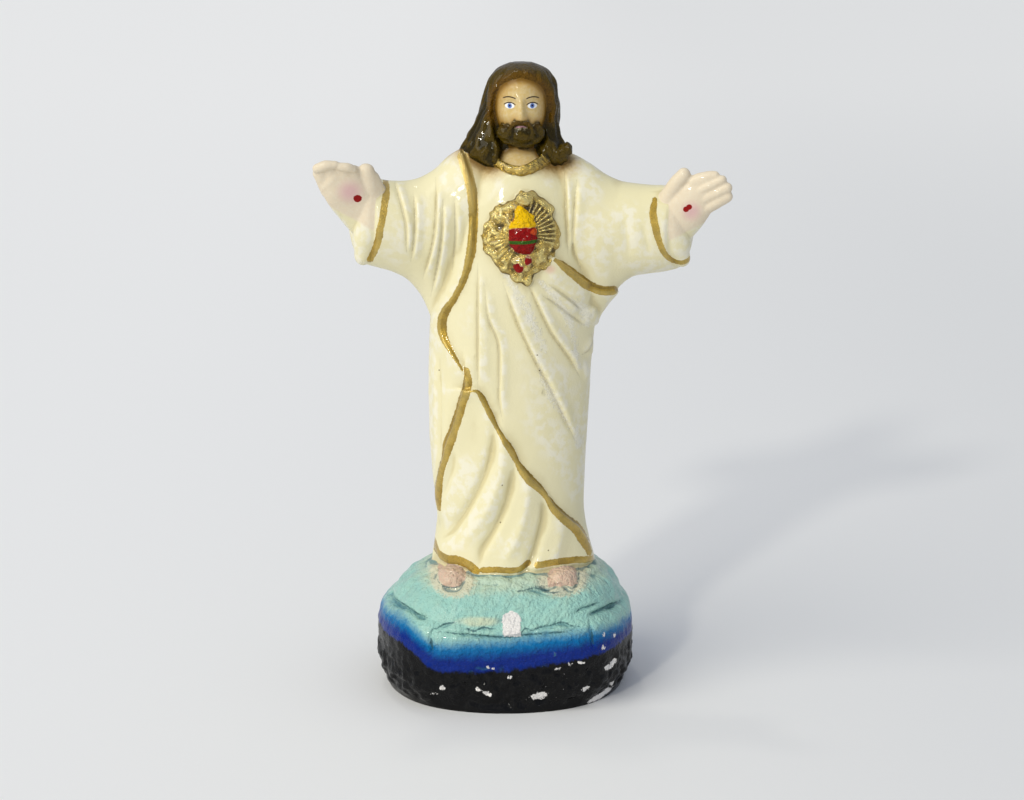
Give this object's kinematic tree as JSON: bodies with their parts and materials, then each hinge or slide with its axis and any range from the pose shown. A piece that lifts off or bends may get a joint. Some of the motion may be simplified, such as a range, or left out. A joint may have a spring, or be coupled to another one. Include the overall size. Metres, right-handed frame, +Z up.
{
  "type": "figurine",
  "caption": "Standing bearded figure in a long robe and mantle, arms held open, with a flaming heart emblem on the chest, on a rounded base.",
  "frame": {"origin": "middle of the base's flat underside", "axes": "+Z up along the figure, the figure faces -Y, +X towards the figure's own left hand"},
  "size_m": [0.1267, 0.0704, 0.1962],
  "materials": {
    "painted_plaster": "cast plaster, hand-painted cream with gold trims, brown hair, pale skin and a pale blue to black base, under a clear gloss varnish"
  },
  "bodies": {
    "root": {"figurine": "painted_plaster"}
  },
  "joints": []
}
